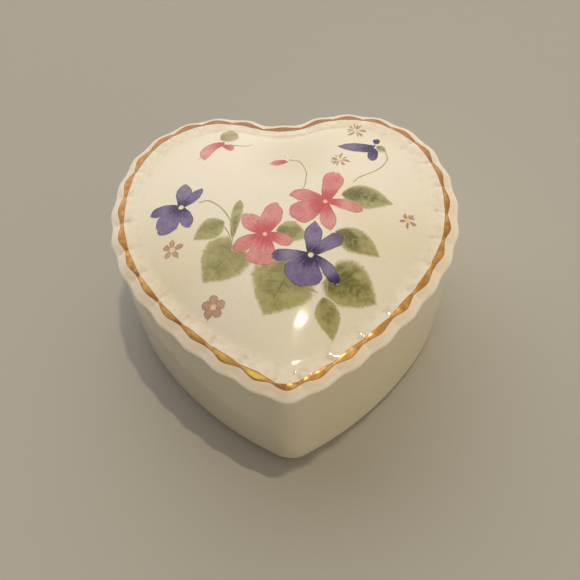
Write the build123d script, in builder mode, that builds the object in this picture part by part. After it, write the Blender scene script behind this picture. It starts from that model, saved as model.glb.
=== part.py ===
"""Heart-shaped porcelain trinket box: a hollow box with a loose lid that lifts off.

The heart is drawn as ten tangent arcs. Its left half mirrors the right half, and every other outline
in the model is the same heart moved inwards by an inset or shrunk towards the middle of the dome.
+Z is up, the tip of the heart points to -Y, and the origin is under the middle of the box.
"""

import os
from math import cos, radians, sin

from build123d import *

os.makedirs("parts", exist_ok=True)

# ---- the heart's mean rim line, in mm and degrees: radius of each arc and how far it turns ----
NOTCH_RADIUS, NOTCH_TURN = 15.0, 22.8  # hollow between the lobes, half of it
LOBE_RADIUS, LOBE_TURN = 22.5, 90.0
SHOULDER_RADIUS, SHOULDER_TURN = 35.6, 57.2
TIP_RADIUS, TIP_TURN = 7.5, 27.0
FLANK_TURN = 180 + NOTCH_TURN - LOBE_TURN - SHOULDER_TURN - TIP_TURN

# ---- heights and thicknesses, in mm ----
SEAT_HEIGHT = 33.0  # the lid rests here, on the box's mouth
RIM_THICKNESS = 0.9
GILDING_RISE = 1.6  # from the rim's edge up to the gilt line
COVE_RISE = 0.4  # from the gilt line up to the foot of the dome
DOME_RISE = 4.4
WALL = 2.6
FLOOR = 3.2
FOOT_RECESS = 0.8
LID_WALL = 2.3
FLANGE_DEPTH = 4.0
FLANGE_WALL = 1.8

# ---- insets from the mean rim line, in mm ----
BOX_INSET = 0.5  # how far the rim overhangs the box
FLANGE_GAP = 0.4  # all round, between the lid's flange and the box's mouth
CROWN_INSET = 0.8
GILDING_INSET = 2.7
COVE_INSET = 4.4
FOOT_RING_WIDTH = 5.8

# ---- trim ----
SCALLOPS = 30
SCALLOP_SWELL = 0.3  # each way from the mean rim line
GILDING_WIDTH = 1.4
GILDING_DEPTH = 0.12
FOOT_ROUNDING = 2.0
FLOOR_ROUNDING = 2.0
DOME_CENTRE_Y = 1.5
DOME_STEPS = (0.88, 0.7, 0.5, 0.3, 0.1)  # each dome outline, as a share of the cove's

MOUTH_INSET = BOX_INSET + WALL
FLANGE_INSET = MOUTH_INSET + FLANGE_GAP
HOLLOW_INSET = FLANGE_INSET + FLANGE_WALL
RIM_TOP = SEAT_HEIGHT + RIM_THICKNESS
GILDING_HEIGHT = RIM_TOP + GILDING_RISE
COVE_HEIGHT = GILDING_HEIGHT + COVE_RISE


def flank_radius():
    """Radius of the long flank arc that brings the outline back to the centre line at the tip."""
    lobe_start = radians(NOTCH_TURN)
    shoulder_start = lobe_start - radians(LOBE_TURN)
    flank_start = shoulder_start - radians(SHOULDER_TURN)
    tip_start = flank_start - radians(FLANK_TURN)
    across = NOTCH_RADIUS * sin(lobe_start)
    across += LOBE_RADIUS * (sin(lobe_start) - sin(shoulder_start))
    across += SHOULDER_RADIUS * (sin(shoulder_start) - sin(flank_start))
    across += TIP_RADIUS * sin(tip_start)
    return across / (sin(tip_start) - sin(flank_start))


def walk_half_heart():
    """Arcs of the right half from notch to tip: centre x, centre y, radius, first and last heading.

    A heading is the direction of travel, from 0 along +X at the notch to -180 at the tip. A hollow
    arc has a negative radius, so that an inset is always taken off the radius.
    """
    turns = (
        (-NOTCH_RADIUS, -NOTCH_TURN),
        (LOBE_RADIUS, LOBE_TURN),
        (SHOULDER_RADIUS, SHOULDER_TURN),
        (flank_radius(), FLANK_TURN),
        (TIP_RADIUS, TIP_TURN),
    )
    arcs = []
    x, y, heading = 0.0, 0.0, 0.0
    for radius, turn in turns:
        centre_x = x + radius * sin(heading)
        centre_y = y - radius * cos(heading)
        after = heading - radians(turn)
        arcs.append((centre_x, centre_y, radius, heading, after))
        x = centre_x - radius * sin(after)
        y = centre_y + radius * cos(after)
        heading = after
    crown_y = arcs[1][1] + LOBE_RADIUS
    middle = (crown_y + y) / 2
    return [(cx, cy - middle, radius, start, end) for cx, cy, radius, start, end in arcs]


HALF_HEART = walk_half_heart()
HALF_LENGTH = sum(abs(radius * (start - end)) for _, _, radius, start, end in HALF_HEART)


def on_arc(arc, share, inset=0.0):
    """Point part of the way along an arc, moved inwards by the inset."""
    centre_x, centre_y, radius, start, end = arc
    heading = start + (end - start) * share
    reach = radius - inset
    return centre_x - reach * sin(heading), centre_y + reach * cos(heading)


def on_rim(distance, inset=0.0):
    """Point at a distance along the mean rim line from the notch; negative distances go left."""
    left = abs(distance)
    side = 1 if distance >= 0 else -1
    if left > HALF_LENGTH:
        left = 2 * HALF_LENGTH - left
        side = -side
    for arc in HALF_HEART:
        length = abs(arc[2] * (arc[3] - arc[4]))
        if left <= length or arc is HALF_HEART[-1]:
            x, y = on_arc(arc, min(left / length, 1.0), inset)
            return side * x, y
        left -= length


def heart(height, inset=0.0, scale=1.0):
    """Heart face at a height, inset from the mean rim line, then shrunk towards the dome's centre."""

    def place(x, y):
        return scale * x, DOME_CENTRE_Y + scale * (y - DOME_CENTRE_Y)

    with BuildSketch(Plane.XY.offset(height)) as face:
        with BuildLine():
            for arc in HALF_HEART:
                points = [on_arc(arc, share, inset) for share in (0.0, 0.5, 1.0)]
                ThreePointArc(*[place(x, y) for x, y in points])
                ThreePointArc(*[place(-x, y) for x, y in points])
        make_face()
    return face.sketch


def scalloped_heart(height):
    """Face with one outward bow per scallop; a bow sits on the notch and one on the tip."""
    pitch = 2 * HALF_LENGTH / SCALLOPS
    with BuildSketch(Plane.XY.offset(height)) as face:
        with BuildLine():
            for number in range(SCALLOPS):
                middle = number * pitch
                ThreePointArc(
                    on_rim(middle - pitch / 2, SCALLOP_SWELL),
                    on_rim(middle, -SCALLOP_SWELL),
                    on_rim(middle + pitch / 2, SCALLOP_SWELL),
                )
        make_face()
    return face.sketch


def dome_outlines(foot_height, inset):
    """Heart faces up a dome whose foot is at the height and inset given."""
    return [heart(foot_height + DOME_RISE * (1 - step**2), inset, step) for step in DOME_STEPS]


def crown_outlines(lowered=0.0):
    """Heart faces from the seat to the top of the lid; lowered moves them all down."""
    return [
        heart(SEAT_HEIGHT - lowered, CROWN_INSET),
        heart(RIM_TOP - lowered, CROWN_INSET),
        heart(GILDING_HEIGHT - lowered, GILDING_INSET),
        heart(COVE_HEIGHT - lowered, COVE_INSET),
    ] + dome_outlines(COVE_HEIGHT - lowered, COVE_INSET)


with BuildPart() as box:
    extrude(heart(0, BOX_INSET), amount=SEAT_HEIGHT)
    fillet(box.faces().sort_by(Axis.Z)[0].edges(), FOOT_ROUNDING)
    extrude(heart(FLOOR, MOUTH_INSET), amount=SEAT_HEIGHT - FLOOR, mode=Mode.SUBTRACT)
    fillet(box.faces().filter_by(Axis.Z).sort_by(Axis.Z)[1].edges(), FLOOR_ROUNDING)
    extrude(heart(0, BOX_INSET + FOOT_RING_WIDTH), amount=FOOT_RECESS, mode=Mode.SUBTRACT)
box.part.label = "box"
export_step(box.part, "parts/box.step")

with BuildPart() as gilt_band:
    loft(crown_outlines(), ruled=True)
    extrude(heart(RIM_TOP, GILDING_INSET - GILDING_WIDTH / 2), amount=DOME_RISE, mode=Mode.INTERSECT)
    extrude(heart(RIM_TOP, GILDING_INSET + GILDING_WIDTH / 2), amount=DOME_RISE, mode=Mode.SUBTRACT)
    loft(crown_outlines(GILDING_DEPTH), ruled=True, mode=Mode.SUBTRACT)
gilt_band.part.label = "gilt_band"
export_step(gilt_band.part, "parts/gilt_band.step")

with BuildPart() as lid:
    extrude(scalloped_heart(SEAT_HEIGHT), amount=RIM_THICKNESS)
    loft(crown_outlines(), ruled=True)
    extrude(heart(SEAT_HEIGHT, FLANGE_INSET), amount=-FLANGE_DEPTH)
    extrude(heart(SEAT_HEIGHT, HOLLOW_INSET), amount=-FLANGE_DEPTH, mode=Mode.SUBTRACT)
    hollow = [heart(SEAT_HEIGHT, HOLLOW_INSET)] + dome_outlines(COVE_HEIGHT - LID_WALL, HOLLOW_INSET)
    loft(hollow, ruled=True, mode=Mode.SUBTRACT)
    add(gilt_band.part, mode=Mode.SUBTRACT)
lid.part.label = "lid"
export_step(lid.part, "parts/lid.step")
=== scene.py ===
"""Looks of the heart-shaped porcelain trinket box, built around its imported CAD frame.

Lengths in this script are millimetres in the row frame and turn into metres when a mesh is made. The
porcelain and the gilding are rings of points that follow the heart's ten tangent arcs. The printed
flowers are thin skins laid on the lid by dropping their points onto it.
"""

from math import cos, pi, radians, sin

import bpy
import numpy as np
from mathutils import Matrix, Vector
from mathutils.bvhtree import BVHTree


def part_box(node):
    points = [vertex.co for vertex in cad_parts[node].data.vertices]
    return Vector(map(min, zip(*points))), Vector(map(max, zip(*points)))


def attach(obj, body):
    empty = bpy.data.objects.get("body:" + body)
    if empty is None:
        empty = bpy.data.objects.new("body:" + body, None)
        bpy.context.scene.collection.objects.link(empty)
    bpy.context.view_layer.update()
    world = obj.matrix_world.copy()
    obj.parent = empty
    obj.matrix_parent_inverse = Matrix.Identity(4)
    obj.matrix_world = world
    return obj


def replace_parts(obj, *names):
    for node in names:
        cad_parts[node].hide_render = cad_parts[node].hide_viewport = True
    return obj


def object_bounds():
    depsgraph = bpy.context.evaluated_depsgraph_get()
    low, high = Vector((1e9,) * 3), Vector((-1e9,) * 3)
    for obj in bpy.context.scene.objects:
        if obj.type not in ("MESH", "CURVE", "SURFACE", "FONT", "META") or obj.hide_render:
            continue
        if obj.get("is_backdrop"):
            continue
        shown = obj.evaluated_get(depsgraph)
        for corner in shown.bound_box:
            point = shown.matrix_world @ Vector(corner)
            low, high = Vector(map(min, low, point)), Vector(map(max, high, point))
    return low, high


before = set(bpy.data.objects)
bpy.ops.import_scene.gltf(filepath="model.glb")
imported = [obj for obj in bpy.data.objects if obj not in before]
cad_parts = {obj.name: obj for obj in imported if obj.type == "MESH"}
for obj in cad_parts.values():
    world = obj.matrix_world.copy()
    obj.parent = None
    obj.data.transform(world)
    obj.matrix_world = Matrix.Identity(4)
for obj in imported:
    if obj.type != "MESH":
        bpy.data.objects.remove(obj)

MM = 0.001
cad_bounds = [list(corner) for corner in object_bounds()]
lid_low, lid_high = [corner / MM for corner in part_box("lid")]
box_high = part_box("box")[1] / MM

# ---- the heart's mean rim line: radius in mm and turn in degrees of each arc from notch to tip ----
NOTCH_RADIUS, NOTCH_TURN = 15.0, 22.8
LOBE_RADIUS, LOBE_TURN = 22.5, 90.0
SHOULDER_RADIUS, SHOULDER_TURN = 35.6, 57.2
TIP_RADIUS, TIP_TURN = 7.5, 27.0
FLANK_TURN = 180 + NOTCH_TURN - LOBE_TURN - SHOULDER_TURN - TIP_TURN

# ---- heights and thicknesses in mm, the first ones from the frame ----
SEAT = box_high.z
APEX = lid_high.z
FLANGE_FOOT = lid_low.z
RIM_TOP = SEAT + 0.9
LID_WALL = 2.3
FLOOR = 3.2
FLOOR_ROUNDING = 2.0
FOOT_RECESS = 0.8
BELLY = 0.25  # how far the wall swells at half its height

# ---- insets from the mean rim line, in mm ----
GILDING_INSET = 2.6
COVE_INSET = 4.6
DOME_REACH = 32.0  # from the cove to the dome's centre, on average
DOME_CENTRE = np.array([0.0, 1.5])
BOX_INSET = 0.5
MOUTH_INSET = 3.1
FLANGE_INSET = 3.5
HOLLOW_INSET = 5.3
FOOT_INSET, RECESS_INSET = 2.5, 6.3

# ---- scallops ----
SCALLOPS = 30
POINTS_PER_SCALLOP = 20
STEPS_ROUND = SCALLOPS * POINTS_PER_SCALLOP
EDGE_WAVE = 0.24
PILLOW_HEIGHT = 0.22
CREASE_DEPTH, CREASE_WIDTH = 0.08, 0.6
LUMP_HEIGHT = 0.018
GROOVE_INSET, GROOVE_DEPTH, GROOVE_WIDTH = 5.9, 0.15, 0.5  # hollow inside the gilt line, deepest at the notch
EASING_REACH, EASING_STEPS = 0.06, 9  # share of the way round, to each side, that eases the dome's corners

# ---- thin skins on the lid, in mm: how far they stand up, step up from one another and sink in ----
LEAF_LIFT, STEM_LIFT, FLOWER_LIFT, SEPAL_LIFT, VIOLET_LIFT = 0.015, 0.02, 0.03, 0.04, 0.055
LAYER_STEP = 0.004
PRINT_SINK = 0.03
GILDING_LIFT, GILDING_SINK = 0.02, 0.06

# ---- camera and ceiling lamp, in mm and degrees ----
CAMERA_AZIMUTH, CAMERA_ELEVATION, CAMERA_ROLL = 1.64, 58.44, -3.15
CAMERA_DISTANCE = 204.5
CAMERA_TARGET = Vector((0.35, 8.9, 0.4))
SENSOR_WIDTH, FOCAL_LENGTH = 36.0, 49.655
LAMP_SPOT = (3.3, -21.35)  # plan point of the lid where the camera sees the lamp mirrored
LAMP_DISTANCE, LAMP_LENGTH, LAMP_WIDTH, LAMP_ROLL = 1200, 64, 6, 30

# ---- the gold by share of the way round: how heavy the stroke is, and its painted light and shade, over 1 for painted glints ----
GILDING_STROKES = [
    (0.0, 1.1, 0.0), (0.1, 1.0, 0.1), (0.22, 0.9, 0.5), (0.4, 0.95, 1.0), (0.5, 0.8, 1.0),
    (0.52, 0.8, 1.0), (0.533, 1.0, 1.7), (0.55, 0.8, 0.9), (0.567, 1.0, 1.3), (0.583, 0.8, 0.9),
    (0.65, 0.8, 0.75), (0.78, 1.1, 0.4), (0.9, 1.15, 0.1), (1.0, 1.1, 0.0),
]


# ======================================================================================
# Outline
# ======================================================================================

def walk_half_heart():
    """Arcs of the right half: centre, radius, first heading and last heading, as rows of an array.

    A heading is the direction of travel, 0 along +X at the notch and -pi at the tip. A hollow arc has
    a negative radius, so that an inset is always taken off the radius.
    """
    turns = [-NOTCH_TURN, LOBE_TURN, SHOULDER_TURN, FLANK_TURN, TIP_TURN]
    radii = [-NOTCH_RADIUS, LOBE_RADIUS, SHOULDER_RADIUS, None, TIP_RADIUS]
    headings = [0.0]
    for turn in turns:
        headings.append(headings[-1] - radians(turn))
    across = [sin(start) - sin(end) for start, end in zip(headings, headings[1:])]
    others = sum(radius * step for radius, step in zip(radii, across) if radius is not None)
    radii[3] = -others / across[3]
    arcs = []
    point = np.zeros(2)
    for radius, start, end in zip(radii, headings, headings[1:]):
        centre = point + radius * np.array([sin(start), -cos(start)])
        arcs.append([*centre, radius, start, end])
        point = centre - radius * np.array([sin(end), -cos(end)])
    arcs = np.array(arcs)
    arcs[:, 1] -= (arcs[1, 1] + LOBE_RADIUS + point[1]) / 2
    return arcs


ARCS = walk_half_heart()
ARC_ENDS = np.cumsum(np.abs(ARCS[:, 2] * (ARCS[:, 3] - ARCS[:, 4])))
HALF_LENGTH = ARC_ENDS[-1]


def outline(turns, inset):
    """Points of the heart at shares of the way round it, clockwise from the notch, moved inwards."""
    along = np.mod(turns, 1.0) * 2 * HALF_LENGTH
    side = np.where(along > HALF_LENGTH, -1.0, 1.0)
    along = np.minimum(along, 2 * HALF_LENGTH - along)
    which = np.minimum(np.searchsorted(ARC_ENDS, along), len(ARCS) - 1)
    x, y, radius, start, end = ARCS[which].T
    back = (ARC_ENDS[which] - along) / np.abs(radius * (end - start))
    heading = end + (start - end) * back
    reach = radius - inset
    return np.stack([side * (x - reach * np.sin(heading)), y + reach * np.cos(heading)], axis=-1)


def smoothstep(low, high, value):
    """0 below low, 1 above high and a smooth step between them."""
    share = np.clip((value - low) / (high - low), 0, 1)
    return share * share * (3 - 2 * share)


def smooth_profile(knots):
    """A height curve through (distance, height) knots that overshoots at none of them."""
    distance, height = np.array(knots, float).T
    slopes = np.diff(height) / np.diff(distance)
    tangent = np.zeros(len(distance))
    rising = slopes[1:] * slopes[:-1] > 0
    tangent[1:-1][rising] = (2 * slopes[1:] * slopes[:-1] / (slopes[1:] + slopes[:-1] + 1e-12))[rising]
    tangent[0] = slopes[0]

    def at(value):
        cell = np.clip(np.searchsorted(distance, value) - 1, 0, len(slopes) - 1)
        width = distance[cell + 1] - distance[cell]
        share = np.clip((value - distance[cell]) / width, 0, 1)
        rise = height[cell + 1] - height[cell]
        return (
            height[cell]
            + rise * share * share * (3 - 2 * share)
            + width * tangent[cell] * share * (1 - share) ** 2
            - width * tangent[cell + 1] * share * share * (1 - share)
        )

    return at


# ======================================================================================
# Lid surface
# ======================================================================================

LID_PROFILE = smooth_profile([
    (0.0, RIM_TOP - 0.3),
    (0.15, RIM_TOP + 0.02),
    (0.5, RIM_TOP + 0.34),
    (1.2, RIM_TOP + 0.82),
    (2.0, RIM_TOP + 1.3),
    (2.75, RIM_TOP + 1.6),
    (3.3, RIM_TOP + 1.72),
    (COVE_INSET, RIM_TOP + 1.9),
    (6.2, RIM_TOP + 2.15),
    (9.0, RIM_TOP + 2.9),
    (14.0, RIM_TOP + 4.12),
    (20.0, RIM_TOP + 5.27),
    (28.0, APEX - 0.2),
    (COVE_INSET + DOME_REACH, APEX),
])


def scallop_phase(turns):
    """-1 to 1 across each scallop, 0 at its middle and 1 in the crease beside it."""
    return np.mod(turns * SCALLOPS + 0.5, 1.0) * 2 - 1


def stations_round(points_per_scallop):
    """Shares of the way round, closer together at the creases than in mid-scallop."""
    even = np.arange(SCALLOPS * points_per_scallop) / points_per_scallop
    return (even + 0.6 * np.sin(2 * pi * even) / (2 * pi)) / SCALLOPS


def crease(turns):
    """1 in the sharp groove between two scallops, 0 a little way from it."""
    away = (1 - np.abs(scallop_phase(turns))) * HALF_LENGTH / SCALLOPS
    return np.exp(-((away / CREASE_WIDTH) ** 2))


def soft_outline(turns, inset):
    """The outline with its corners eased, as the average of stretches of it to both sides."""
    shifts = np.linspace(-EASING_REACH, EASING_REACH, EASING_STEPS)
    weights = np.cos(shifts / (EASING_REACH + 0.01) * pi / 2)
    parts = [weight * outline(turns + shift, inset) for shift, weight in zip(shifts, weights)]
    return sum(parts) / weights.sum()


def dome_plan(turns, inset, share):
    """Plan of a dome ring: the heart itself at share 1, eased at its corners and then round inside."""
    share = np.asarray(share)[..., None]
    spoke = outline(turns, inset) - DOME_CENTRE
    soft_spoke = soft_outline(turns, inset) - DOME_CENTRE
    round_spoke = spoke / np.linalg.norm(spoke, axis=-1, keepdims=True) * DOME_REACH
    spoke = soft_spoke + (spoke - soft_spoke) * share**4
    return DOME_CENTRE + share * (round_spoke + (spoke - round_spoke) * share**2)


def unevenness(turns, inset):
    """Small lumps that hand-finished glaze leaves on the rim, in mm, dying out where the dome starts."""
    lumps = np.sin(2 * pi * (97 * turns + 0.31 * inset))
    lumps = lumps * np.sin(2 * pi * (41 * turns - 0.23 * inset) + 1.0)
    lumps = lumps + 0.6 * np.sin(2 * pi * (67 * turns - 0.52 * inset) + 2.0)
    return LUMP_HEIGHT * lumps * smoothstep(0.1, 0.7, inset) * (1 - smoothstep(3.4, 6.0, inset))


def lid_surface(turns, inset):
    """Points on the lid's upper surface at shares of the way round and insets from the rim line."""
    turns, inset = np.broadcast_arrays(turns, inset)
    wave = EDGE_WAVE * np.cos(2 * pi * SCALLOPS * turns) * (1 - smoothstep(0.3, 3.2, inset))
    share = 1 - np.maximum(inset - COVE_INSET, 0) / DOME_REACH
    plan = dome_plan(turns, np.minimum(inset, COVE_INSET) - wave, share)
    swell = smoothstep(0.0, 1.6, inset) * (1 - smoothstep(2.8, 5.4, inset))
    cut = smoothstep(0.3, 1.2, inset) * (1 - smoothstep(3.6, 6.4, inset))
    height = LID_PROFILE(inset) + PILLOW_HEIGHT * swell * (np.cos(scallop_phase(turns) * pi / 2) - 0.64)
    groove = GROOVE_DEPTH * (0.05 + np.cos(pi * turns) ** 16)
    groove = groove * np.exp(-(((inset - GROOVE_INSET) / GROOVE_WIDTH) ** 2))
    height += unevenness(turns, inset) - CREASE_DEPTH * cut * crease(turns) - groove
    return np.concatenate([plan, height[..., None]], axis=-1)


# ======================================================================================
# Meshes
# ======================================================================================

def new_object(name, points, faces, material, body, values=None):
    """A smooth-shaded mesh from points in mm, riding on a body, with per-point values as attributes."""
    mesh = bpy.data.meshes.new(name)
    mesh.from_pydata((np.asarray(points, float) * MM).tolist(), [], faces)
    for attribute_name, numbers in (values or {}).items():
        attribute = mesh.attributes.new(attribute_name, "FLOAT", "POINT")
        attribute.data.foreach_set("value", np.asarray(numbers, np.float32))
    mesh.validate()
    mesh.shade_smooth()
    mesh.materials.append(material)
    piece = bpy.data.objects.new(name, mesh)
    bpy.context.scene.collection.objects.link(piece)
    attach(piece, body)
    return piece


def lathe(rings):
    """Points and faces of a closed body from rings of equal size; its ends are closed by a fan."""
    count = len(rings[0])
    points = np.concatenate(list(rings) + [rings[0].mean(0)[None], rings[-1].mean(0)[None]])
    faces = []
    for row in range(len(rings) - 1):
        for column in range(count):
            beside = (column + 1) % count
            low, high = row * count, (row + 1) * count
            faces.append((low + column, high + column, high + beside, low + beside))
    first_centre, last_centre = len(points) - 2, len(points) - 1
    last = (len(rings) - 1) * count
    for column in range(count):
        beside = (column + 1) % count
        faces.append((first_centre, column, beside))
        faces.append((last_centre, last + beside, last + column))
    return points, faces


def flat_ring(turns, inset, height):
    """A level ring of the heart at an inset and a height."""
    plan = outline(turns, inset)
    return np.column_stack([plan, np.full(len(plan), height)])


def shrunk_ring(turns, inset, height, share):
    """A level ring shrunk towards the dome's centre, rounder the smaller it is."""
    plan = dome_plan(turns, inset, np.full(len(turns), share))
    return np.column_stack([plan, np.full(len(plan), height)])


def build_lid(material):
    """The lid as one closed skin: from the dome's middle out to the rim, round it, and up underneath."""
    turns = stations_round(POINTS_PER_SCALLOP)
    top_insets = np.concatenate([
        [0.0, 0.04, 0.12, 0.25],
        np.arange(0.45, 8.0, 0.3),
        np.linspace(8.0, COVE_INSET + DOME_REACH - 0.8, 34),
    ])
    rings = [lid_surface(turns, inset) for inset in top_insets[::-1]]
    inset_of_point = list(np.repeat(top_insets[::-1], STEPS_ROUND))
    wave = EDGE_WAVE * np.cos(2 * pi * SCALLOPS * turns)
    under_rim = [(0.03, 0.3), (0.15, 0.12), (0.4, 0.02), (BOX_INSET, 0.0)]
    rings += [flat_ring(turns, inset - wave * (1 - inset / 2), SEAT + lift) for inset, lift in under_rim]
    flange = [
        (FLANGE_INSET - 0.4, SEAT),
        (FLANGE_INSET, SEAT - 0.4),
        (FLANGE_INSET, FLANGE_FOOT + 0.6),
        (FLANGE_INSET + 0.3, FLANGE_FOOT + 0.1),
        (FLANGE_INSET + 0.9, FLANGE_FOOT),
        (HOLLOW_INSET - 0.3, FLANGE_FOOT + 0.1),
        (HOLLOW_INSET, FLANGE_FOOT + 0.6),
        (HOLLOW_INSET, SEAT),
    ]
    rings += [flat_ring(turns, inset, height) for inset, height in flange]
    hollow_foot = SEAT + 0.4
    for share in np.linspace(0.97, 0.03, 16):
        height = hollow_foot + (APEX - LID_WALL - hollow_foot) * (1 - share**2.4)
        rings.append(shrunk_ring(turns, HOLLOW_INSET, height, share))
    points, faces = lathe(rings)
    depth = np.full(len(points), DOME_REACH)
    depth[: len(inset_of_point)] = inset_of_point
    creased = np.zeros(len(points))
    creased[: len(inset_of_point)] = np.tile(crease(turns), len(top_insets))
    piece = new_object("lid_porcelain", points, faces, material, "lid",
                       {"rim_inset": depth, "crease": creased})
    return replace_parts(piece, "lid")


def build_box(material):
    """The box as one closed skin: from under its middle out to the foot, up the wall and down inside."""
    turns = stations_round(12)
    outside = [
        (RECESS_INSET, FOOT_RECESS),
        (RECESS_INSET - 0.15, 0.3),
        (RECESS_INSET - 0.5, 0.02),
        (RECESS_INSET - 1.0, 0.0),
        (FOOT_INSET + 0.2, 0.0),
    ]
    rounding = FOOT_INSET - BOX_INSET
    for angle in np.linspace(5, 90, 12):
        inset = FOOT_INSET - rounding * sin(radians(angle))
        outside.append((inset, rounding * (1 - cos(radians(angle)))))
    for share in np.linspace(0.1, 1.0, 16):
        height = rounding + (SEAT - 0.5 - rounding) * share
        outside.append((BOX_INSET - BELLY * sin(pi * share), height))
    outside += [(BOX_INSET + 0.12, SEAT - 0.15), (BOX_INSET + 0.5, SEAT)]
    outside += [(MOUTH_INSET - 0.5, SEAT), (MOUTH_INSET - 0.12, SEAT - 0.15), (MOUTH_INSET, SEAT - 0.5)]
    outside += [(MOUTH_INSET, height) for height in np.linspace(SEAT - 3, FLOOR + FLOOR_ROUNDING, 8)]
    for angle in np.linspace(15, 90, 6):
        inset = MOUTH_INSET + FLOOR_ROUNDING * (1 - cos(radians(angle)))
        outside.append((inset, FLOOR + FLOOR_ROUNDING * (1 - sin(radians(angle)))))
    floor_inset = MOUTH_INSET + FLOOR_ROUNDING
    rings = [shrunk_ring(turns, RECESS_INSET, FOOT_RECESS, share) for share in (0.1, 0.4, 0.7, 0.9, 0.97)]
    rings += [flat_ring(turns, inset, height) for inset, height in outside]
    rings += [shrunk_ring(turns, floor_inset, FLOOR, share) for share in (0.95, 0.8, 0.5, 0.2, 0.05)]
    points, faces = lathe(rings)
    foot = points[:, 2] < 0.05
    mouth = points[:, 2] > SEAT - 0.1
    piece = new_object("box_porcelain", points, faces, material, "box",
                       {"bare": foot | mouth})
    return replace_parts(piece, "box")


def build_gilding(material):
    """The gilt line: a thin closed skin over the rim's crest, wide on each scallop, narrow between."""
    turns = stations_round(40)
    steps = len(turns)
    wander = np.sin(2 * pi * 7 * turns + 1) + np.sin(2 * pi * 17 * turns)
    wander = wander + np.sin(2 * pi * 41 * turns + 2)
    shares, weights, brightness = np.transpose(GILDING_STROKES)
    stroke = np.interp(turns, shares, weights)
    half_width = stroke * (0.4 + 0.36 * np.cos(scallop_phase(turns) * pi / 2) ** 1.3 + 0.03 * wander)
    middle = GILDING_INSET - 0.1 * np.cos(scallop_phase(turns) * pi) + 0.04 * np.roll(wander, steps // 9)
    across = np.linspace(-1, 1, 9)
    loops, edge = [], []
    top = [(share, GILDING_LIFT) for share in across]
    underside = [(share, -GILDING_SINK) for share in across[::-1]]
    for share, lift in top + underside:
        loop = lid_surface(turns, middle + half_width * share)
        loop[:, 2] += lift
        loops.append(loop)
        edge.append((1 - abs(share)) * half_width)
    points = np.concatenate(loops)
    faces = []
    for row in range(len(loops)):
        low, high = row * steps, (row + 1) % len(loops) * steps
        for column in range(steps):
            beside = (column + 1) % steps
            faces.append((low + column, low + beside, high + beside, high + column))
    # Painted light and shade along the gold, with painted glints where the value passes 1.
    bright = np.tile(np.interp(turns, shares, brightness), len(loops))
    piece = new_object("gilt_line", points, faces, material, "lid",
                       {"edge": np.concatenate(edge), "bright": bright})
    corner_loops = (0, len(across) - 1, len(across), len(loops) - 1)
    for bound in piece.data.edges:
        first, second = (index // steps for index in bound.vertices)
        bound.use_edge_sharp = first == second and first in corner_loops
    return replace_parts(piece, "gilt_band")


# ======================================================================================
# Printed flowers: patches of print, each a grid of plan points in mm
# ======================================================================================

random = np.random.default_rng(11)


def bent(along, across, bend):
    """Plan points of a strip's along and across distances once it bends left, in degrees per mm."""
    turn = radians(bend) * along
    slack = np.where(np.abs(turn) < 1e-6, 1e-6, turn)
    x = along * np.sin(slack) / slack - across * np.sin(turn)
    y = along * (1 - np.cos(slack)) / slack + across * np.cos(turn)
    return np.stack([x, y], axis=-1)


def turned(plan, angle):
    """Plan points turned anticlockwise by an angle in degrees."""
    cosine, sine = cos(radians(angle)), sin(radians(angle))
    x, y = plan[..., 0], plan[..., 1]
    return np.stack([x * cosine - y * sine, x * sine + y * cosine], axis=-1)


def patch(plan, **values):
    """A grid of plan points with what the materials read at each of them."""
    shape = plan.shape[:2]
    return plan, {name: np.broadcast_to(value, shape) for name, value in values.items()}


def petal(centre, angle, length, width, bend=0.0, widest=0.62, point=0.5, base=0.4,
          dark_tip=0.0, start=0.1):
    """A petal from a flower's centre: bend is its whole turn, point 0.5 is a round end, 1 a sharp one.

    Base is its width at the centre as a share of the widest, dark_tip how dark its end is painted and
    start how far from the centre it begins.
    """
    share = np.sin(np.linspace(0, pi / 2, 30))[:, None]
    side = np.linspace(-1, 1, 15)[None, :]
    rise = base + (1 - base) * np.sin(pi / 2 * np.clip(share / widest, 0, 1)) ** 1.3
    fall = np.clip(1 - np.clip((share - widest) / (1 - widest), 0, 1) ** 2, 0.004, 1) ** point
    half_width = width / 2 * rise * fall
    phases = random.uniform(0, 2 * pi, 3)
    wobble = 0.035 * np.sin(9 * share + phases[0]) + 0.02 * np.sin(21 * share + phases[1])
    half_width = half_width * (1 + wobble)
    notch = 0.035 * length * np.cos(side * 5.2 + phases[2]) * share**3
    along = start + (length - start) * share + notch
    across = half_width * side
    plan = turned(bent(along, across, bend / length), angle - bend / 2) + np.array(centre)
    return patch(
        plan,
        along=share,
        across=side,
        edge=(1 - np.abs(side)) * half_width,
        reach=np.hypot(*np.moveaxis(plan - np.array(centre), -1, 0)),
        shade=dark_tip * smoothstep(0.62, 0.95, share),
        tint=random.uniform(),
    )


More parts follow.
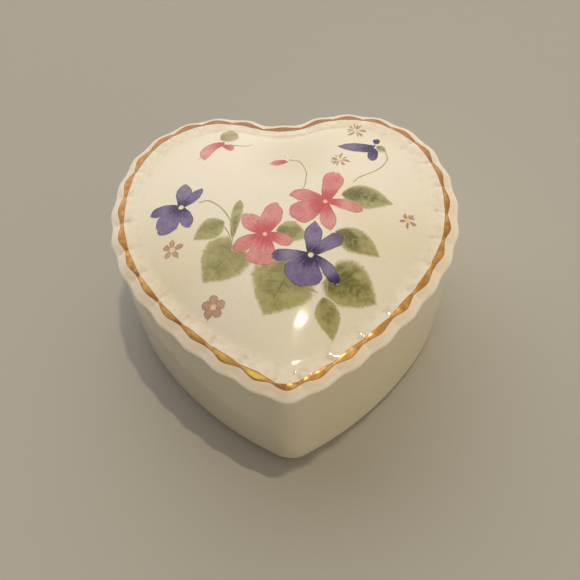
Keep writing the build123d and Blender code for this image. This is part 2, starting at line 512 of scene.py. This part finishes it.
def leaf(base, tip, width, bend=0.0, lobes=0.0, teeth=9, widest=0.42, narrowing=1.6, tint=0.5):
    """A leaf from its base to its tip with saw teeth; lobes is how far its base reaches back, as a share.

    A larger narrowing keeps it wide for longer, and a larger tint paints its heart darker.
    """
    base, tip = np.array(base), np.array(tip)
    length = np.linalg.norm(tip - base)
    angle = np.degrees(np.arctan2(*(tip - base)[::-1]))
    share = np.linspace(0, 1, teeth * 8 + 1)[:, None]
    side = np.linspace(-1, 1, 19)[None, :]
    swelling = np.sin(pi / 2 * np.minimum(share / widest, 1) ** 0.8) ** 0.8
    closing = np.clip((share - widest) / (1 - widest), 0, 1) ** narrowing
    spread = np.maximum(swelling * (1 - closing), 0.03)
    back = lobes * share / 0.1 * np.exp(1 - share / 0.1)
    tooth_sizes = random.uniform(0.5, 1.3, (teeth + 1, 2))
    cut = tooth_sizes[np.minimum(share * teeth, teeth).astype(int), (side > 0).astype(int)]
    tooth = cut * np.mod(share * teeth, 1.0) ** 0.8 * spread * (1 - 0.5 * share) * np.abs(side) ** 6
    across = side * (width / 2 * spread + 0.3 * tooth)
    along = length * (share - back * np.abs(side)) + 0.2 * tooth
    plan = turned(bent(along, across, bend / length), angle - bend / 2) + base
    return patch(
        plan,
        along=share,
        across=side,
        edge=5 * (1 - np.abs(side)) * spread,
        reach=np.hypot(*np.moveaxis(plan - base, -1, 0)),
        shade=0.0,
        tint=tint,
    )


def stem(points, width=0.3, taper=0.75):
    """A painted line through plan points, thinner towards its end."""
    points = np.array(points, float)
    padded = np.vstack([2 * points[0] - points[1], points, 2 * points[-1] - points[-2]])
    share = np.linspace(0, 1, 13)[:-1, None]
    runs = []
    for first, second, third, fourth in zip(padded, padded[1:], padded[2:], padded[3:]):
        runs.append(
            0.5 * (2 * second + (third - first) * share
                   + (2 * first - 5 * second + 4 * third - fourth) * share**2
                   + (3 * second - first - 3 * third + fourth) * share**3)
        )
    line = np.vstack(runs + [points[-1:]])
    heading = np.gradient(line, axis=0)
    heading /= np.linalg.norm(heading, axis=1, keepdims=True)
    left = np.stack([-heading[:, 1], heading[:, 0]], axis=-1)
    progress = np.linspace(0, 1, len(line))[:, None]
    side = np.linspace(-1, 1, 5)[None, :]
    wander = 1 + 0.15 * np.sin(23 * progress + random.uniform(0, 6))
    half_width = width / 2 * (1 - (1 - taper) * progress) * wander
    plan = line[:, None] + left[:, None] * (half_width * side)[..., None]
    return patch(plan, along=0.5, across=side, edge=1.0, reach=9.0, shade=0.25, tint=0.5)


def sprig(centre, size, turn, petal_width, strokes):
    """A tiny flower: fine strokes out from around its pale eye and, if they have a width, five petals."""
    patches = []
    for number in range(strokes):
        angle = turn + 36 + 360 * number / strokes + random.uniform(-10, 10)
        inner, outer = size * random.uniform(0.1, 0.25), size * random.uniform(0.38, 0.58)
        patches.append(petal(centre, angle, outer, size * 0.075, start=inner, point=0.8, dark_tip=0.8))
    for number in range(5 if petal_width else 0):
        angle = turn + 72 * number + random.uniform(-9, 9)
        length = size * random.uniform(0.4, 0.5)
        patches.append(petal(centre, angle, length, size * petal_width, widest=0.7, point=0.45))
    return patches


def lay_print(name, patches, height, material):
    """A closed skin on the lid for each patch, joined into one piece; later patches lie higher."""
    points, faces, sharp = [], [], []
    values = {key: [] for key in patches[0][1]}
    for number, (plan, numbers) in enumerate(patches):
        rows, columns = plan.shape[:2]
        lift = height + LAYER_STEP * number
        ground = [lid_tree.ray_cast((x, y, 100.0), (0, 0, -1))[0].z for x, y in plan.reshape(-1, 2)]
        top = np.column_stack([plan.reshape(-1, 2), np.array(ground) + lift])
        bottom = top - (0, 0, lift + PRINT_SINK)
        first = sum(len(block) for block in points)
        points += [top, bottom]
        for key, value in numbers.items():
            values[key] += [value.ravel(), value.ravel()]
        below = rows * columns
        corner = lambda row, column: first + row * columns + column
        for row in range(rows - 1):
            for column in range(columns - 1):
                loop = (corner(row, column), corner(row, column + 1),
                        corner(row + 1, column + 1), corner(row + 1, column))
                faces.append(loop[::-1])
                faces.append(tuple(index + below for index in loop))
        rim = [corner(0, column) for column in range(columns)]
        rim += [corner(row, columns - 1) for row in range(1, rows)]
        rim += [corner(rows - 1, column) for column in range(columns - 2, -1, -1)]
        rim += [corner(row, 0) for row in range(rows - 2, 0, -1)]
        for here, there in zip(rim, rim[1:] + rim[:1]):
            faces.append((here, there, there + below, here + below))
            sharp += [frozenset((here, there)), frozenset((here + below, there + below))]
    joined = {key: np.concatenate(blocks) for key, blocks in values.items()}
    piece = new_object(name, np.concatenate(points), faces, material, "lid", joined)
    sharp = set(sharp)
    for edge in piece.data.edges:
        edge.use_edge_sharp = frozenset(edge.vertices) in sharp
    return piece


# ======================================================================================
# Materials
# ======================================================================================

def colour(red, green, blue):
    """Scene colour of an sRGB colour given in 0 to 255."""
    shares = np.array([red, green, blue]) / 255
    return (*np.where(shares > 0.04045, ((shares + 0.055) / 1.055) ** 2.4, shares / 12.92), 1.0)


class Graph:
    """The nodes of one material, with short calls for the kinds used here."""

    def __init__(self, name):
        self.material = bpy.data.materials.new(name)
        self.material.use_nodes = True
        self.tree = self.material.node_tree
        self.shader = self.tree.nodes["Principled BSDF"]
        coordinates = self.node("ShaderNodeTexCoord")
        in_mm = self.node("ShaderNodeVectorMath", operation="SCALE")
        self.tree.links.new(coordinates.outputs["Object"], in_mm.inputs[0])
        in_mm.inputs["Scale"].default_value = 1 / MM
        self.place = in_mm.outputs[0]

    def node(self, kind, **settings):
        """A new node with some of its settings changed."""
        node = self.tree.nodes.new(kind)
        for key, value in settings.items():
            setattr(node, key, value)
        return node

    def feed(self, socket, value):
        """Link an output to the socket, or set the socket to a number or a colour."""
        if isinstance(value, bpy.types.NodeSocket):
            self.tree.links.new(value, socket)
        else:
            socket.default_value = value

    def math(self, operation, *values):
        """Arithmetic on numbers or outputs."""
        node = self.node("ShaderNodeMath", operation=operation)
        for socket, value in zip(node.inputs, values):
            self.feed(socket, value)
        return node.outputs[0]

    def attribute(self, name):
        """What the mesh stores under a name at each of its points."""
        return self.node("ShaderNodeAttribute", attribute_name=name).outputs["Fac"]

    def vector(self, x, y, z):
        """Three numbers or outputs as one place."""
        node = self.node("ShaderNodeCombineXYZ")
        for socket, value in zip(node.inputs, (x, y, z)):
            self.feed(socket, value)
        return node.outputs[0]

    def noise(self, place, scale, detail=2.0, roughness=0.5):
        """Cloudy noise from 0 to 1, finer with a larger scale."""
        node = self.node("ShaderNodeTexNoise")
        self.feed(node.inputs["Vector"], place)
        node.inputs["Scale"].default_value = scale
        node.inputs["Detail"].default_value = detail
        node.inputs["Roughness"].default_value = roughness
        return node.outputs["Fac"]

    def ramp(self, value, low, high, to_low=0.0, to_high=1.0):
        """A smooth step from to_low at low to to_high at high."""
        node = self.node("ShaderNodeMapRange", interpolation_type="SMOOTHSTEP")
        for socket, number in zip(node.inputs, (value, low, high, to_low, to_high)):
            self.feed(socket, number)
        return node.outputs[0]

    def mix(self, share, first, second):
        """The first colour at share 0, the second at share 1."""
        node = self.node("ShaderNodeMix", data_type="RGBA")
        self.feed(node.inputs[0], share)
        self.feed(node.inputs[6], first)
        self.feed(node.inputs[7], second)
        return node.outputs[2]

    def bump(self, height, depth_mm):
        """A normal tilted by a height pattern of the depth given."""
        node = self.node("ShaderNodeBump")
        self.feed(node.inputs["Height"], height)
        node.inputs["Strength"].default_value = 1.0
        node.inputs["Distance"].default_value = depth_mm * MM
        return node.outputs[0]


def glaze_tone(graph):
    """The ivory of the glaze: warm and pale, mottled in large soft patches and in fine grain."""
    clouds = graph.noise(graph.place, 0.035, 1.0)
    tone = graph.mix(graph.ramp(clouds, 0.35, 0.65), colour(241, 234, 213), colour(236, 227, 200))
    grain = graph.noise(graph.place, 2.2, 3.0, 0.65)
    return graph.mix(graph.ramp(grain, 0.3, 0.75, 0.0, 0.16), tone, colour(214, 196, 160))


def shine(graph):
    """A thick clear gloss with the faint ripple of fired glaze."""
    graph.shader.inputs["Roughness"].default_value = 0.35
    graph.shader.inputs["Specular IOR Level"].default_value = 0.0
    graph.shader.inputs["Coat Weight"].default_value = 0.9
    graph.shader.inputs["Coat Roughness"].default_value = 0.06
    graph.shader.inputs["Coat IOR"].default_value = 1.5
    ripples = graph.bump(graph.noise(graph.place, 0.55, 2.0, 0.4), 0.002)
    graph.feed(graph.shader.inputs["Coat Normal"], ripples)


def lid_glaze_material():
    """Ivory glaze: a whiter, pinkish rim with a painted edge highlight, painted shade by the notch, and brown
    stained patches inside the gold deepened by painted shade in the creases.
    """
    graph = Graph("ivory_lid_glaze")
    inset = graph.attribute("rim_inset")
    tone = graph.mix(graph.ramp(inset, 1.8, 4.6, 0.9, 0.0), glaze_tone(graph), colour(246, 232, 209))
    # Painted highlight: the very edge of the rim is painted near-white where its lip catches the light.
    tone = graph.mix(graph.ramp(inset, 0.2, 1.2), colour(250, 241, 225), tone)
    # Painted shade: the glaze is painted a darker tone within 15 mm of the notch, from the cove inwards.
    from_notch = graph.node("ShaderNodeVectorMath", operation="DISTANCE")
    graph.feed(from_notch.inputs[0], graph.place)
    from_notch.inputs[1].default_value = (3.0, 22.0, RIM_TOP)
    near_notch = graph.ramp(from_notch.outputs["Value"], 3.0, 15.0, 0.5, 0.0)
    painted_notch_shade = graph.math("MULTIPLY", near_notch, graph.ramp(inset, 4.0, 6.0))
    tone = graph.mix(painted_notch_shade, tone, colour(206, 192, 156))
    # Brown stained patches inside the gold line, with painted shade making them deeper in the creases.
    near_gilding = graph.math("MULTIPLY", graph.ramp(inset, 3.0, 3.8), graph.ramp(inset, 8.0, 4.2))
    creases = graph.ramp(graph.attribute("crease"), 0.0, 1.0, 0.35, 0.8)
    mottle = graph.ramp(graph.noise(graph.place, 0.55, 4.0, 0.65), 0.42, 0.7, 0.0, 0.7)
    stain_and_crease_shade = graph.math("MULTIPLY", graph.math("MULTIPLY", near_gilding, creases), mottle)
    graph.feed(graph.shader.inputs["Base Color"], graph.mix(stain_and_crease_shade, tone, colour(194, 158, 130)))
    shine(graph)
    graph.feed(graph.shader.inputs["Coat Weight"], graph.ramp(inset, 0.2, 1.4, 0.3, 0.9))
    return graph.material


def box_glaze_material():
    """Ivory glaze, with bare biscuit on the foot ring and on the mouth where the lid sits."""
    graph = Graph("ivory_box_glaze")
    bare = graph.ramp(graph.attribute("bare"), 0.2, 0.8)
    speck = graph.ramp(graph.noise(graph.place, 3.5, 3.0, 0.6), 0.45, 0.7)
    biscuit = graph.mix(speck, colour(240, 235, 224), colour(224, 214, 196))
    graph.feed(graph.shader.inputs["Base Color"], graph.mix(bare, glaze_tone(graph), biscuit))
    shine(graph)
    graph.feed(graph.shader.inputs["Coat Weight"], graph.math("MULTIPLY_ADD", bare, -0.9, 0.9))
    graph.feed(graph.shader.inputs["Roughness"], graph.math("MULTIPLY_ADD", bare, 0.5, 0.35))
    return graph.material


def print_edge(graph, paint, fade, hairs):
    """Paint that thins out to bare glaze over fade mm at its edge, in hairs drawn by the noise given."""
    reach = graph.math("MULTIPLY_ADD", graph.ramp(hairs, 0.3, 0.7), fade, fade * 0.3)
    cover = graph.ramp(graph.math("DIVIDE", graph.attribute("edge"), reach), 0.0, 1.0)
    return graph.mix(cover, glaze_tone(graph), paint)


def along_strokes(graph, along_scale, across_scale):
    """Noise drawn out along a patch, or across it if the first scale is the larger."""
    along = graph.math("MULTIPLY", graph.attribute("along"), along_scale)
    across = graph.math("MULTIPLY", graph.attribute("across"), across_scale)
    return graph.noise(graph.vector(along, across, graph.math("MULTIPLY", graph.attribute("tint"), 40.0)),
                       1.0, 3.0, 0.55)


def petal_material(name, pale, deep, dark, heart, eye_size, throat_size):
    """Watercolour petals: pale washes, a dark base that feathers outwards, a thin outline and an eye."""
    graph = Graph(name)
    reach, tint = graph.attribute("reach"), graph.attribute("tint")
    wash = graph.noise(graph.place, 0.5, 3.0, 0.55)
    grain = graph.noise(graph.place, 2.6, 2.0, 0.6)
    body = graph.math("ADD", graph.ramp(wash, 0.3, 0.7, 0.0, 0.5), graph.math("MULTIPLY", tint, 0.45))
    body = graph.math("ADD", body, graph.ramp(grain, 0.35, 0.7, -0.1, 0.2))
    paint = graph.mix(body, pale, deep)
    streaks = graph.math("ADD", along_strokes(graph, 1.2, 5.0), graph.math("MULTIPLY", grain, 0.5))
    ragged = graph.math("MULTIPLY_ADD", streaks, -1.5 * throat_size, graph.math("ADD", reach, throat_size))
    throat = graph.ramp(ragged, throat_size * 0.4, throat_size * 1.6, 0.95, 0.0)
    outline = graph.ramp(graph.attribute("edge"), 0.03, 0.34, 0.5, 0.0)
    darkness = graph.math("MAXIMUM", graph.math("MAXIMUM", throat, graph.attribute("shade")), outline)
    paint = print_edge(graph, graph.mix(darkness, paint, dark), 0.04, wash)
    eye = graph.ramp(graph.math("MULTIPLY_ADD", grain, 0.3, reach), eye_size + 0.05, eye_size + 0.3, 1.0, 0.0)
    graph.feed(graph.shader.inputs["Base Color"], graph.mix(eye, paint, heart))
    shine(graph)
    return graph.material


def leaf_material():
    """Soft sage leaves: pale feathered edges, green strokes fanning from a dark heart, faint veins."""
    graph = Graph("sage_print")
    along, across, tint = graph.attribute("along"), graph.attribute("across"), graph.attribute("tint")
    spread = graph.math("ABSOLUTE", across)
    slant = graph.math("MULTIPLY_ADD", spread, -0.22, along)
    wash = graph.noise(graph.place, 0.4, 3.0, 0.55)
    grain = graph.noise(graph.place, 2.8, 3.0, 0.65)
    fan_place = graph.vector(graph.math("MULTIPLY", slant, 15.0), graph.math("MULTIPLY", across, 2.0), tint)
    fans = graph.noise(fan_place, 1.0, 4.0, 0.65)
    paint = graph.mix(graph.ramp(wash, 0.3, 0.7), colour(181, 174, 118), colour(166, 158, 101))
    towards_tip = graph.ramp(along, 0.15, 0.95, 1.0, 0.1)
    heart = graph.math("MULTIPLY", graph.ramp(spread, 0.05, 1.0, 1.0, 0.0), towards_tip)
    heart = graph.math("ADD", heart, graph.ramp(wash, 0.3, 0.7, -0.25, 0.25))
    strength = graph.math("MULTIPLY_ADD", tint, 0.8, 0.2)
    depth = graph.math("MULTIPLY", graph.ramp(heart, 0.0, 0.8), strength)
    depth = graph.math("MULTIPLY", depth, graph.ramp(fans, 0.3, 0.65, 0.45, 1.1))
    depth = graph.math("ADD", depth, graph.ramp(grain, 0.35, 0.7, -0.08, 0.12))
    paint = graph.mix(depth, paint, colour(106, 105, 44))
    margin = graph.ramp(graph.attribute("edge"), 0.2, 2.0, 0.75, 0.0)
    margin = graph.math("MULTIPLY", margin, graph.ramp(fans, 0.3, 0.7, 1.0, 0.4))
    paint = graph.mix(margin, paint, colour(185, 175, 122))
    rib = graph.math("FRACT", graph.math("MULTIPLY", slant, 6.5))
    rib = graph.math("ABSOLUTE", graph.math("SUBTRACT", rib, 0.5))
    midrib = graph.ramp(spread, 0.01, 0.06, 0.4, 0.0)
    veins = graph.math("MAXIMUM", graph.ramp(rib, 0.02, 0.14, 0.25, 0.0), midrib)
    veins = graph.math("MULTIPLY", veins, graph.ramp(spread, 0.4, 0.85, 1.0, 0.0))
    paint = graph.mix(graph.math("MULTIPLY", veins, graph.ramp(wash, 0.35, 0.6)), paint, colour(92, 90, 42))
    paint = graph.mix(graph.attribute("shade"), paint, colour(150, 140, 104))
    strokes = along_strokes(graph, 30.0, 2.5)
    hairs = graph.math("MULTIPLY_ADD", strokes, 0.45, graph.math("MULTIPLY", wash, 0.55))
    graph.feed(graph.shader.inputs["Base Color"], print_edge(graph, paint, 1.3, hairs))
    shine(graph)
    return graph.material


def gold_material():
    """Fired gold brushed on by hand: blotched, thin and rosy at its edges, with painted light and shade round
    the heart and painted yellow glints.
    """
    graph = Graph("fired_gold")
    blotch = graph.noise(graph.place, 0.6, 2.0, 0.5)
    base = graph.mix(graph.ramp(blotch, 0.4, 0.6), colour(242, 194, 112), colour(206, 148, 72))
    bright, edge = graph.attribute("bright"), graph.attribute("edge")
    # Painted light and shade: the gold is painted brown at the back and full colour towards the front.
    base = graph.mix(bright, colour(146, 94, 36), base)
    thin = graph.ramp(edge, 0.0, 0.3, 1.0, 0.0)
    # Painted glints: where the bright value passes 1, the middle of the stroke is painted yellow and made
    # less metallic.
    painted_glint = graph.math("MULTIPLY", graph.ramp(bright, 1.0, 1.5), graph.ramp(edge, 0.15, 0.45))
    base = graph.mix(painted_glint, base, colour(255, 221, 108))
    graph.feed(graph.shader.inputs["Base Color"], graph.mix(thin, base, colour(176, 122, 76)))
    metal = graph.math("MULTIPLY_ADD", thin, -0.35, 0.5)
    graph.feed(graph.shader.inputs["Metallic"], graph.math("MULTIPLY_ADD", painted_glint, -0.45, metal))
    roughness = graph.ramp(graph.noise(graph.place, 1.2, 2.0, 0.5), 0.3, 0.7, 0.2, 0.36)
    graph.feed(graph.shader.inputs["Roughness"], roughness)
    graph.feed(graph.shader.inputs["Normal"], graph.bump(graph.noise(graph.place, 0.9, 1.0, 0.5), 0.02))
    return graph.material


# ======================================================================================
# Stage, lights and camera
# ======================================================================================

def aim(thing, place, target, roll):
    """Put a camera or a lamp at a place, looking at a target, and roll it about its line of sight."""
    thing.location = Vector(place) * MM
    direction = (Vector(target) - Vector(place)).normalized()
    level = direction.to_track_quat("-Z", "Y").to_matrix()
    thing.rotation_mode = "QUATERNION"
    thing.rotation_quaternion = (level @ Matrix.Rotation(radians(roll), 3, "Z")).to_quaternion()


def add_floor():
    """The plain pale ground that the box stands on."""
    mesh = bpy.data.meshes.new("floor")
    reach = 3.0
    corners = [(-reach, -reach, 0), (reach, -reach, 0), (reach, reach, 0), (-reach, reach, 0)]
    mesh.from_pydata(corners, [], [(0, 1, 2, 3)])
    floor = bpy.data.objects.new("floor", mesh)
    bpy.context.scene.collection.objects.link(floor)
    graph = Graph("pale_floor")
    graph.shader.inputs["Base Color"].default_value = colour(180, 177, 168)
    graph.shader.inputs["Roughness"].default_value = 0.9
    mesh.materials.append(graph.material)
    floor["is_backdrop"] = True


def add_camera():
    """A camera above and in front of the tip, rolled a little."""
    azimuth, elevation = radians(CAMERA_AZIMUTH), radians(CAMERA_ELEVATION)
    back = Vector((sin(azimuth) * cos(elevation), -cos(azimuth) * cos(elevation), sin(elevation)))
    lens = bpy.data.cameras.new("camera")
    lens.sensor_width = SENSOR_WIDTH
    lens.lens = FOCAL_LENGTH
    lens.clip_start, lens.clip_end = 0.01, 20.0
    camera = bpy.data.objects.new("camera", lens)
    bpy.context.scene.collection.objects.link(camera)
    aim(camera, CAMERA_TARGET + back * CAMERA_DISTANCE, CAMERA_TARGET, CAMERA_ROLL)
    bpy.context.scene.camera = camera


def add_world():
    """White light from low behind the box and a warm glow from front right, over a plain backdrop."""
    world = bpy.data.worlds.new("studio")
    world.use_nodes = True
    nodes, links = world.node_tree.nodes, world.node_tree.links
    sky = nodes["Background"]
    coordinates = nodes.new("ShaderNodeTexCoord")
    total = nodes.new("ShaderNodeVectorMath")
    glows = (
        ((-0.22, 0.88, 0.34), 0.3, 1.7, (1.0, 0.99, 1.0)),
        ((0.78, -0.54, 0.34), 0.1, 0.68, (1.0, 0.87, 0.67)),
    )
    for (direction, spread, brightness, tone), socket in zip(glows, total.inputs):
        towards = nodes.new("ShaderNodeVectorMath")
        towards.operation = "DOT_PRODUCT"
        towards.inputs[1].default_value = Vector(direction).normalized()
        links.new(coordinates.outputs["Generated"], towards.inputs[0])
        glow = nodes.new("ShaderNodeMapRange")
        glow.interpolation_type = "SMOOTHSTEP"
        for number_socket, number in zip(list(glow.inputs)[1:5], (spread, 1.0, 0.02, brightness)):
            number_socket.default_value = number
        links.new(towards.outputs["Value"], glow.inputs[0])
        tinted = nodes.new("ShaderNodeVectorMath")
        tinted.operation = "SCALE"
        tinted.inputs[0].default_value = tone
        links.new(glow.outputs[0], tinted.inputs["Scale"])
        links.new(tinted.outputs[0], socket)
    links.new(total.outputs[0], sky.inputs["Color"])
    backdrop = nodes.new("ShaderNodeBackground")
    backdrop.inputs["Color"].default_value = (0.72, 0.70, 0.66, 1)
    ray = nodes.new("ShaderNodeLightPath")
    choice = nodes.new("ShaderNodeMixShader")
    links.new(ray.outputs["Is Camera Ray"], choice.inputs[0])
    links.new(sky.outputs[0], choice.inputs[1])
    links.new(backdrop.outputs[0], choice.inputs[2])
    links.new(choice.outputs[0], nodes["World Output"].inputs["Surface"])
    bpy.context.scene.world = world
    bpy.context.scene.view_settings.view_transform = "Standard"


def add_ceiling_lamp():
    """A small bright oval lamp that the camera sees mirrored in the dome at LAMP_SPOT."""
    lamp = bpy.data.lights.new("ceiling_lamp", "AREA")
    lamp.shape = "ELLIPSE"
    lamp.size, lamp.size_y = LAMP_LENGTH * MM, LAMP_WIDTH * MM
    lamp.energy = 3.5
    lamp.color = (1.0, 0.84, 0.6)
    holder = bpy.data.objects.new("ceiling_lamp", lamp)
    bpy.context.scene.collection.objects.link(holder)
    place, normal = lid_tree.ray_cast((*LAMP_SPOT, 100.0), (0, 0, -1))[:2]
    towards_camera = (bpy.context.scene.camera.location / MM - place).normalized()
    towards_lamp = 2 * normal.dot(towards_camera) * normal - towards_camera
    aim(holder, place + towards_lamp * LAMP_DISTANCE, place, LAMP_ROLL)


add_camera()
add_world()
add_floor()

build_box(box_glaze_material())
lid = build_lid(lid_glaze_material())
lid_tree = BVHTree.FromPolygons(
    [vertex.co / MM for vertex in lid.data.vertices],
    [tuple(polygon.vertices) for polygon in lid.data.polygons],
)
build_gilding(gold_material())
add_ceiling_lamp()

# ---- the print: sizes in mm, angles in degrees from +X, seen from above ----
violet_print = petal_material(
    "violet_petals", colour(143, 129, 163), colour(105, 90, 138), colour(38, 24, 76), colour(238, 228, 186),
    eye_size=0.55, throat_size=2.2,
)
violet_bud_print = petal_material(
    "violet_bud", colour(130, 114, 152), colour(96, 82, 128), colour(44, 32, 78), colour(238, 228, 186),
    eye_size=0.0, throat_size=3.4,
)
rose_print = petal_material(
    "rose_petals", colour(226, 160, 154), colour(206, 119, 117), colour(198, 78, 82), colour(246, 206, 150),
    eye_size=0.45, throat_size=2.8,
)
sprig_print = petal_material(
    "mauve_petals", colour(206, 172, 150), colour(186, 146, 126), colour(140, 108, 82), colour(242, 212, 164),
    eye_size=0.6, throat_size=0.5,
)
leaf_print = leaf_material()

LEAVES = {
    "leaf_left": leaf((-12.3, 2.0), (-19.1, -1.9), 5.9, bend=14, teeth=8, tint=0.3),
    "leaf_heart_left": leaf((-10.2, -4.9), (-16.9, -12.2), 11.4, lobes=0.26, teeth=13, widest=0.3, tint=0.14),
    "leaf_small": leaf((-1.6, -1.0), (5.2, -3.2), 5.8, bend=-30, teeth=6, tint=0.6),
    "leaf_upper_right": leaf((12.4, 8.4), (23.8, 6.4), 7.2, bend=-18, teeth=12, tint=1.1),
    "leaf_right": leaf((10.6, -1.4), (19.8, -7.3), 6.6, bend=-14, teeth=11, tint=1.1),
    "leaf_low_right": leaf((9.6, -11.5), (18.6, -17.5), 11.6, lobes=0.18, teeth=13, widest=0.34, tint=0.85),
    "leaf_front": leaf((7.5, -16.3), (9.1, -25.4), 5.2, bend=-8, teeth=11, tint=0.24),
    "leaf_heart_low": leaf((2.3, -8.6), (-4.5, -20.3), 14.4, lobes=0.1, teeth=15, widest=0.4, tint=0.28),
    "leaf_bud": leaf((-10.7, -2.8), (-9.1, 7.6), 2.4, bend=-6, teeth=4, widest=0.72, narrowing=3.0, tint=0.6),
}
for leaf_name, leaf_patch in LEAVES.items():
    lay_print(leaf_name, [leaf_patch], LEAF_LIFT, leaf_print)

STEMS = [
    stem([(-18.1, 8.0), (-15.9, 8.1), (-13.2, 5.8), (-11.2, 2.4), (-10.5, -0.5), (-10.7, -3.4)]),
    stem([(-12.3, 0.6), (-11.3, -1.4), (-10.9, -3.4)], 0.22),
    stem([(1.4, 19.0), (3.8, 18.2), (5.1, 15.0), (5.0, 13.0), (4.6, 10.4)], 0.25),
    stem([(4.4, 10.4), (2.8, 5.5), (1.0, 2.8)], 0.2, 0.4),
    stem([(23.0, 22.4), (23.4, 20.5), (22.7, 18.5), (20.5, 16.1), (16.8, 13.8), (15.3, 12.2)], 0.25),
    stem([(-12.1, 25.6), (-9.6, 24.9), (-8.0, 24.7), (-6.8, 25.3)], 0.22, 0.5),
    stem([(-17.0, 22.4), (-18.0, 21.8), (-19.2, 21.4)], 0.22, 0.5),
    stem([(7.6, -11.0), (8.6, -13.0), (8.2, -16.2)], 0.25),
    stem([(3.8, -14.2), (6.6, -15.6)], 0.2),
]
lay_print("stems", STEMS, STEM_LIFT, leaf_print)

ROSES = {
    "rose_violet_left": ((-3.9, -1.8), [
        (335, 6.0, 2.9, dict(bend=-15)), (207, 7.6, 3.4, dict(point=0.8, bend=10)), (130, 6.8, 4.0, {}),
        (72, 8.2, 4.5, {}), (262, 7.1, 6.2, dict(widest=0.84, point=0.25)),
    ]),
    "rose_violet_right": ((8.9, 6.3), [
        (343, 8.0, 2.8, dict(bend=-35, point=0.4)), (275, 7.5, 3.4, dict(point=0.8)),
        (166, 7.7, 3.2, dict(bend=50)), (72, 8.7, 4.5, dict(widest=0.76, point=0.35)),
        (209, 8.0, 5.8, dict(widest=0.7)),
    ]),
}
VIOLETS = {
    "violet_left": ((-22.0, 7.3), [
        (84, 6.4, 3.5, {}), (46, 6.2, 2.5, dict(bend=15)),
        (187, 6.8, 2.9, dict(bend=25, dark_tip=0.4)), (290, 5.8, 3.0, dict(bend=-10)), (233, 7.5, 5.1, {}),
    ]),
    "violet_low": ((5.4, -7.2), [
        (82, 8.2, 3.7, dict(point=0.75)), (179, 7.7, 2.9, dict(bend=8, dark_tip=0.6, widest=0.8, point=0.35)),
        (34, 8.0, 3.3, dict(bend=-12, dark_tip=0.45, widest=0.78, point=0.45)),
        (307, 8.2, 2.8, dict(bend=-50, dark_tip=0.9, widest=0.82, point=0.45)),
        (247, 7.2, 7.9, dict(base=0.35)),
    ]),
}
for flowers, height, flower_print, flower_slot in (
    (ROSES, FLOWER_LIFT, rose_print, "rose_print"),
    (VIOLETS, VIOLET_LIFT, violet_print, "violet_print"),
):
    for flower_name, (centre, petals) in flowers.items():
        patches = [petal(centre, *sizes, **settings) for *sizes, settings in petals]
        lay_print(flower_name, patches, height, flower_print)

BUDS = {
    "bud_violet": (violet_bud_print, "violet_print", [
        petal((20.9, 23.4), 78, 3.2, 1.7, widest=0.6, base=0.5, start=1.5, dark_tip=0.7),
        petal((21.5, 25.4), 240, 3.0, 0.6, start=0.9, dark_tip=0.9),
        petal((20.3, 23.8), 262, 4.7, 2.4, bend=-25, base=0.8, point=0.65, start=0.6),
        petal((21.3, 23.0), 175, 8.6, 2.9, widest=0.5, point=0.7, base=0.95, start=1.0),
    ]),
    "bud_rose": (rose_print, "rose_print", [
        petal((2.0, 18.7), 190, 4.6, 1.8, widest=0.6, point=0.6, start=0.9),
    ]),
    "bud_rose_left": (rose_print, "rose_print", [
        petal((-14.2, 26.0), 325, 3.8, 2.0, widest=0.75, start=0.8),
        petal((-12.7, 25.9), 225, 8.0, 3.0, bend=105, widest=0.6, base=0.45, point=0.7, start=0.5),
    ]),
}
for bud_name, (bud_print, bud_slot, patches) in BUDS.items():
    lay_print(bud_name, patches, FLOWER_LIFT, bud_print)
lay_print("sepals", [
    leaf((-14.3, 27.7), (-10.3, 29.9), 4.4, teeth=5, narrowing=6.0, tint=0.1),
    leaf((21.3, 24.1), (23.4, 22.2), 2.2, teeth=3),
    petal((1.0, 18.4), 116, 3.3, 1.0, bend=60, widest=0.6),
], SEPAL_LIFT, leaf_print)

# ---- sprigs: centre, size, turn, petal width as a share of the size, number of fine strokes ----
SPRIGS = [
    ((-23.4, -3.3), 5.0, 90, 0.24, 2), ((-14.4, -17.3), 5.0, 90, 0.38, 3), ((17.0, 29.5), 4.8, 10, 0.1, 8),
    ((12.6, 18.9), 4.6, 80, 0.1, 8), ((26.3, 2.6), 4.0, 45, 0.16, 6), ((19.9, -1.0), 1.0, 0, 0.0, 3),
]
for number, (centre, size, turn, petal_width, strokes) in enumerate(SPRIGS):
    patches = sprig(centre, size, turn, petal_width, strokes)
    lay_print(f"sprig_{number + 1}", patches, FLOWER_LIFT, sprig_print)

{"cad": cad_bounds, "visual": [list(corner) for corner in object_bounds()]}
